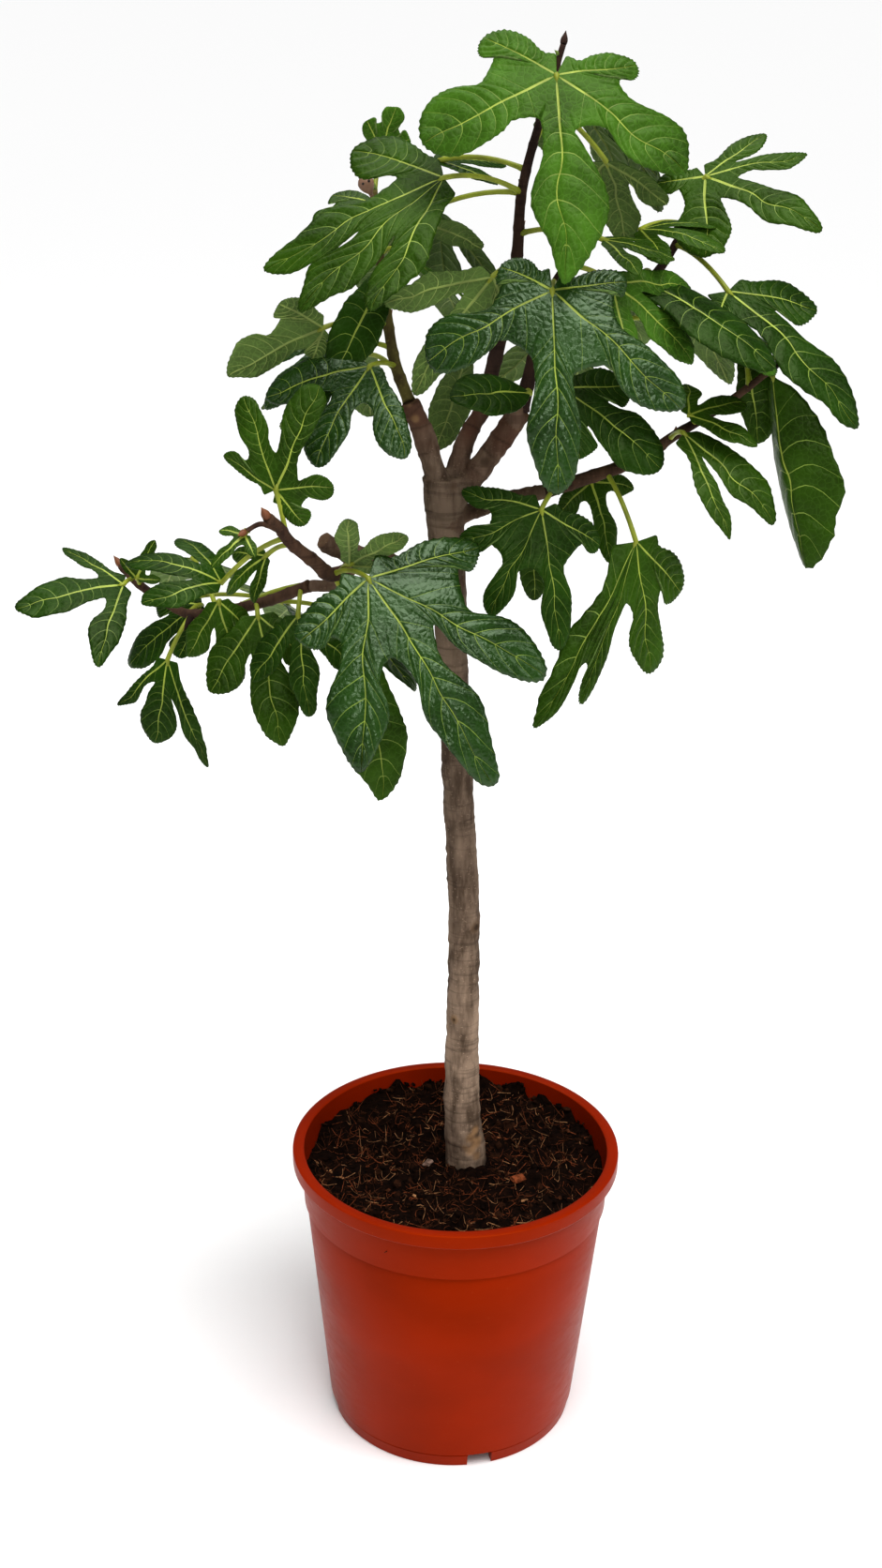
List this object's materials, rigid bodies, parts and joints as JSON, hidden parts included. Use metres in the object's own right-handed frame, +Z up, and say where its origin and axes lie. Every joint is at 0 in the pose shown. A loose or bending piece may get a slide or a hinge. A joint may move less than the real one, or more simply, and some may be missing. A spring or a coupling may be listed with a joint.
{
  "type": "potted fig tree",
  "caption": "Young fig tree with a slim bare trunk, cut boughs and large lobed leaves, growing in a round tapering plastic pot of compost.",
  "frame": {"origin": "centre of the pot's flat underside, on the ground", "axes": "+Z up, -Y towards the side the tree is seen from, +X to that viewer's right"},
  "size_m": [0.7015, 0.3943, 1.248],
  "materials": {
    "pot": "satin terracotta",
    "compost": "rough, dark and fibrous",
    "bark": "smooth grey-brown bark",
    "leaf": "glossy green"
  },
  "bodies": {
    "root": {"pot": "pot", "compost": "compost", "trunk": "bark", "bough_cut_left": "bark", "bough_middle": "bark", "bough_cut_right": "bark", "bough_right": "bark", "bough_left": "bark", "bough_far_left": "bark", "foliage_top": "leaf", "foliage_left": "leaf", "foliage_front": "leaf", "foliage_right": "leaf", "foliage_near_left": "leaf", "foliage_far_left": "leaf"}
  },
  "joints": []
}
